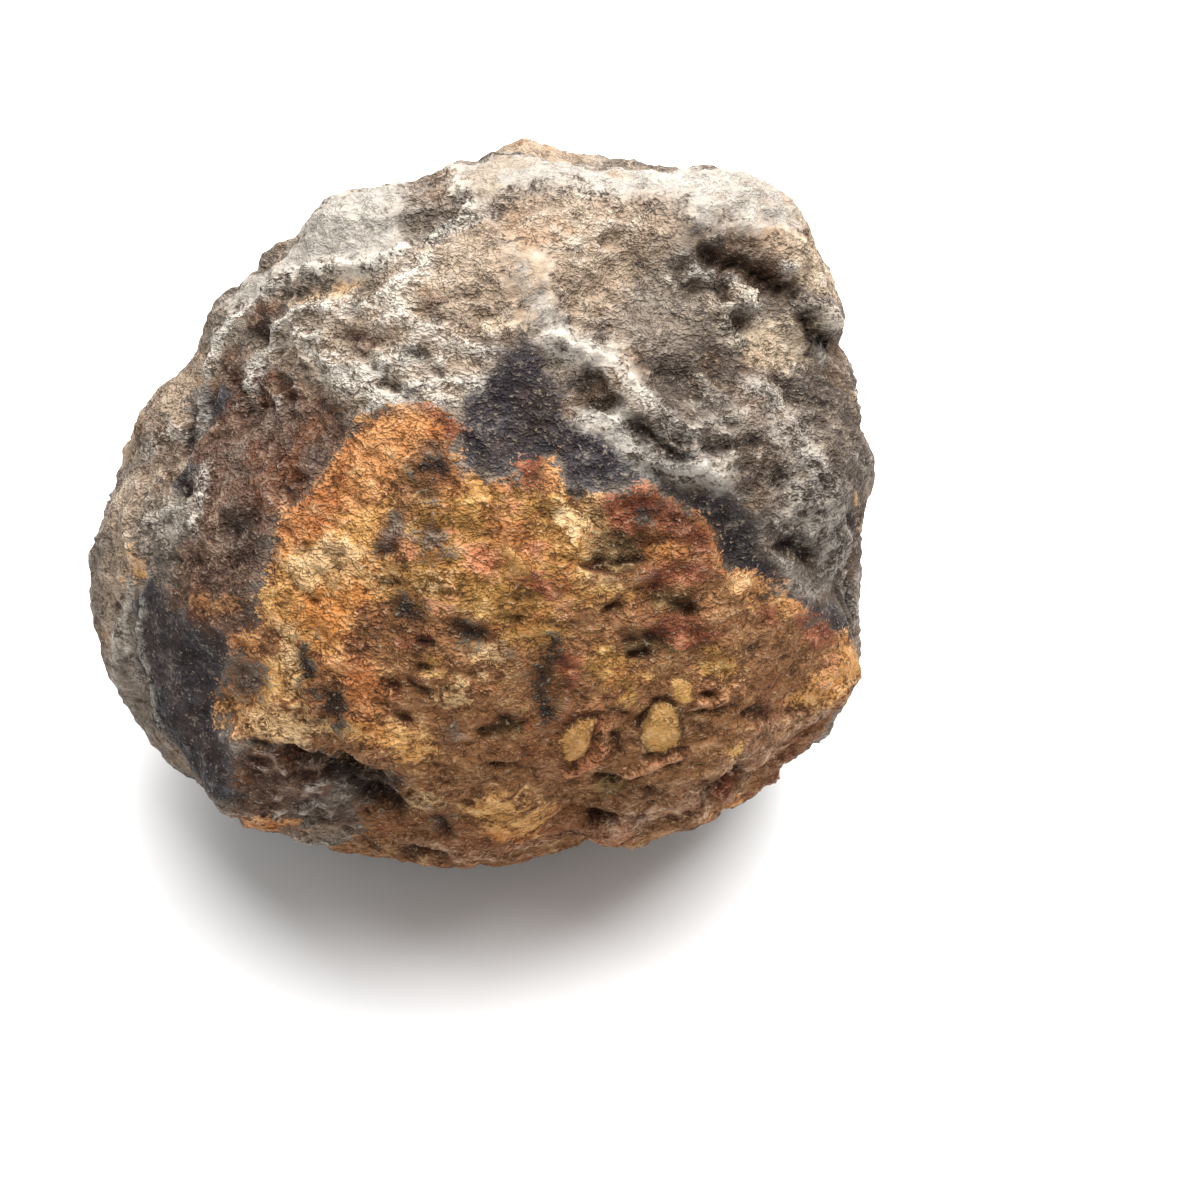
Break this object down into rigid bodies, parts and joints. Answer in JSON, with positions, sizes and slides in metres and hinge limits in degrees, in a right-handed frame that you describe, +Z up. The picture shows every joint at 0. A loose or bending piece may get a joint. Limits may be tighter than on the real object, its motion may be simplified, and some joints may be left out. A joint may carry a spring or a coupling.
{
  "type": "geode",
  "caption": "Whole, uncut geode: a rounded, lobed stone with a pitted grey-brown crust and a broad ochre face, standing on a small flat spot.",
  "frame": {"origin": "under the middle of the stone, at the level of the flat spot it stands on", "axes": "+Z up from the flat spot; -Y is the side of the broad ochre face; +X is the side of the cleft"},
  "size_m": [0.1413, 0.1394, 0.1128],
  "materials": {
    "crust": "matt, rough and pitted, with a faint pale bloom on the grey-brown crust"
  },
  "bodies": {
    "root": {"geode": "crust"}
  },
  "joints": []
}
